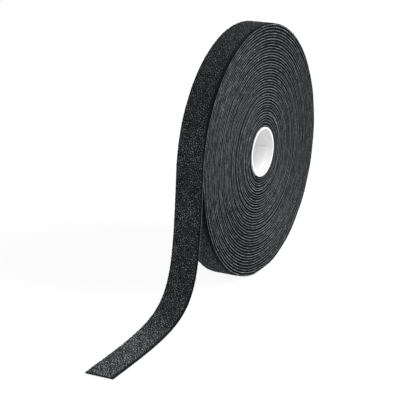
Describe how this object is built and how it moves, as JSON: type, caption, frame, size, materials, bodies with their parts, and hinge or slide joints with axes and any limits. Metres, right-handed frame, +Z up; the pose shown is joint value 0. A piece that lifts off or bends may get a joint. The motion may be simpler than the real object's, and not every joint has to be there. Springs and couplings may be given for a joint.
{
  "type": "hook and loop tape roll",
  "caption": "Roll of narrow two-sided hook and loop tape, loops outside, on a white open core, with its loose end drawn off onto the table.",
  "frame": {"origin": "on the table, under the roll's axis, at the middle of the tape's width", "axes": "+Z up, Y along the roll's axis with the pictured side facing -Y, loose end towards -X"},
  "size_m": [0.2373, 0.0164, 0.1421],
  "materials": {
    "loop_pile": "black brushed nylon loop pile, matte",
    "hook_web": "black woven nylon ground with fine moulded hooks",
    "core_plastic": "white injection-moulded plastic, satin",
    "adhesive": "pale self-adhesive pad"
  },
  "bodies": {
    "roll": {"core_tube": "core_plastic", "start_adhesive_pad": "adhesive", "loop_tape_winding": "loop_pile", "hook_tape_winding": "hook_web"},
    "tail_upper": {"loop_tape_upper": "loop_pile", "hook_tape_upper": "hook_web"},
    "tail_bend": {"loop_tape_bend": "loop_pile", "hook_tape_bend": "hook_web"},
    "tail_end": {"loop_tape_end": "loop_pile", "hook_tape_end": "hook_web"}
  },
  "joints": [
    {"name": "tail_peel", "type": "hinge", "parent": "roll", "child": "tail_upper", "pos_m": [-0.07242, 0, 0.07956], "axis": [0, 1, 0], "range_deg": [0, 90]},
    {"name": "tail_upper_fold", "type": "hinge", "parent": "tail_upper", "child": "tail_bend", "pos_m": [-0.07716, 0, 0.03995], "axis": [0, 1, 0], "range_deg": [-35, 45]},
    {"name": "tail_lower_fold", "type": "hinge", "parent": "tail_bend", "child": "tail_end", "pos_m": [-0.1057, 0, 0.00451], "axis": [0, 1, 0], "range_deg": [-30, 45]}
  ]
}
